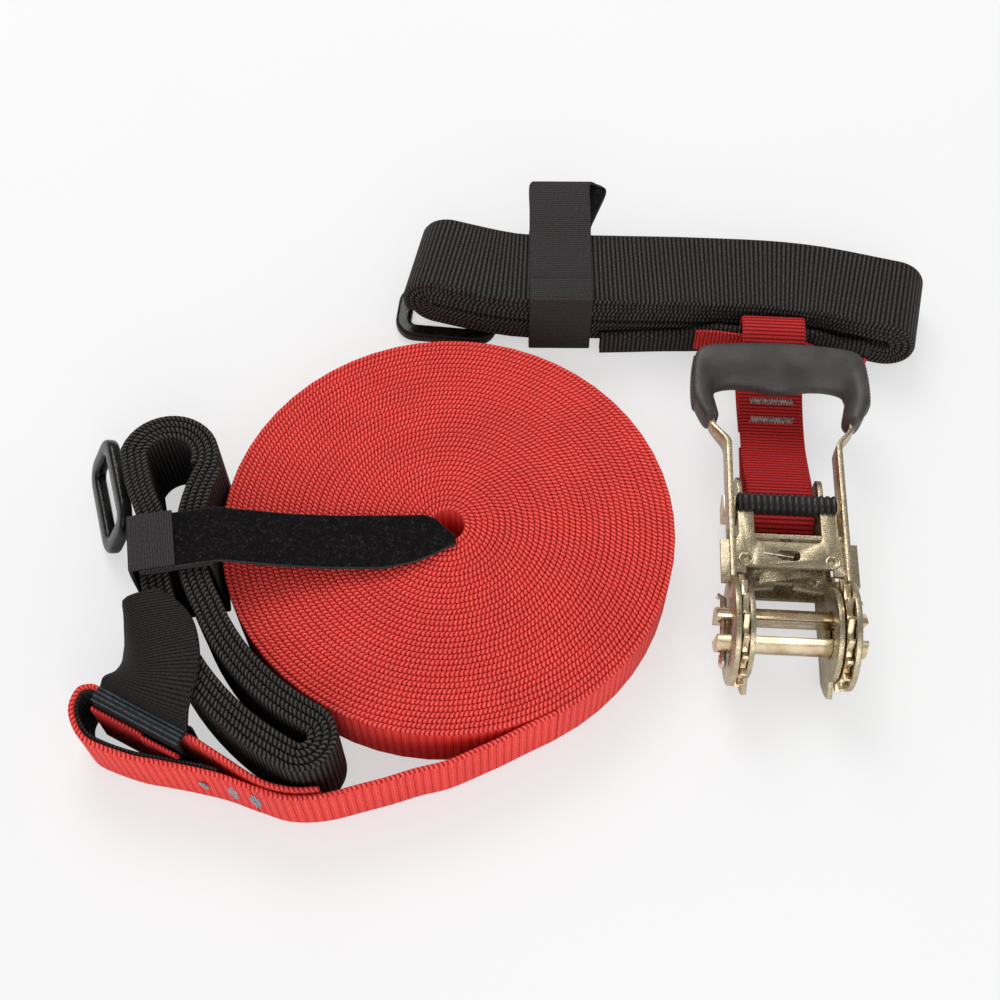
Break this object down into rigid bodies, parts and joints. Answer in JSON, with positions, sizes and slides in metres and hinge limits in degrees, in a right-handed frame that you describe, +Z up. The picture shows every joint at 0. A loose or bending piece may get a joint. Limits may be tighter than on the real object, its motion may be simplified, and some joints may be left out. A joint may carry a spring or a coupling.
{
  "type": "slackline kit",
  "caption": "Slackline kit laid out: a coiled flat line with a sewn eye, tree slings wound in hanks with oval rings and tape ties, and a hand ratchet on a short strap.",
  "frame": {"origin": "on the ground, under the middle of the laid-out kit", "axes": "+X to the ratchet's side, +Y away from the viewer, +Z up"},
  "size_m": [0.3314, 0.2607, 0.0426],
  "materials": {
    "red_webbing": "ribbed polyester weave",
    "black_webbing": "ribbed polyester weave",
    "red_lining": "ribbed polyester weave",
    "tie_tape": "hook and loop tape",
    "black_steel": "glossy black coat",
    "zinc_plate": "yellow zinc plate",
    "spring_steel": "bright wire",
    "grip_plastic": "satin moulded"
  },
  "bodies": {
    "base": {"base_frame": "zinc_plate", "strap_bolt": "zinc_plate", "strap_bolt_nut": "zinc_plate", "stop_pawl_spring": "spring_steel", "ratchet_strap": "red_webbing", "line_coil": "red_webbing", "line_tail": "red_webbing", "line_eye": "red_webbing", "line_eye_liner": "black_webbing", "left_sling_hank": "black_webbing", "left_sling_eye": "black_webbing", "left_sling_eye_lining": "red_lining", "left_sling_ring": "black_steel", "left_sling_tie": "tie_tape", "right_sling_hank": "black_webbing", "right_sling_eye": "black_webbing", "right_sling_eye_lining": "red_lining", "right_sling_ring": "black_steel", "right_sling_tie": "tie_tape"},
    "drum": {"drum_front_half": "zinc_plate", "drum_rear_half": "zinc_plate", "left_ratchet_wheel": "zinc_plate", "right_ratchet_wheel": "zinc_plate", "left_cotter_pin": "spring_steel", "right_cotter_pin": "spring_steel"},
    "handle": {"handle_frame": "zinc_plate", "handle_grip": "grip_plastic", "release_spring": "spring_steel"},
    "release": {"release_pawl": "zinc_plate", "release_pawl_grip": "grip_plastic"},
    "stop": {"stop_pawl": "zinc_plate"}
  },
  "joints": [
    {"name": "handle_hinge", "type": "hinge", "parent": "base", "child": "handle", "pos_m": [0.0936, -0.0685, 0.0203], "axis": [0.9986, -0.0523, 0], "range_deg": [0, 157.5]},
    {"name": "drum_spin", "type": "hinge", "parent": "base", "child": "drum", "pos_m": [0.0936, -0.0685, 0.0203], "axis": [0.9986, -0.0523, 0], "continuous": true},
    {"name": "release_pull", "type": "slide", "parent": "handle", "child": "release", "axis": [0.0523, 0.9986, 0], "range_m": [-0.0026, 0.0044], "stiffness_N_per_m": 700, "deforming": ["release_spring"]},
    {"name": "stop_pull", "type": "slide", "parent": "base", "child": "stop", "axis": [0.0523, 0.9986, 0], "range_m": [-0.0026, 0.0019], "stiffness_N_per_m": 700, "deforming": ["stop_pawl_spring"]}
  ]
}
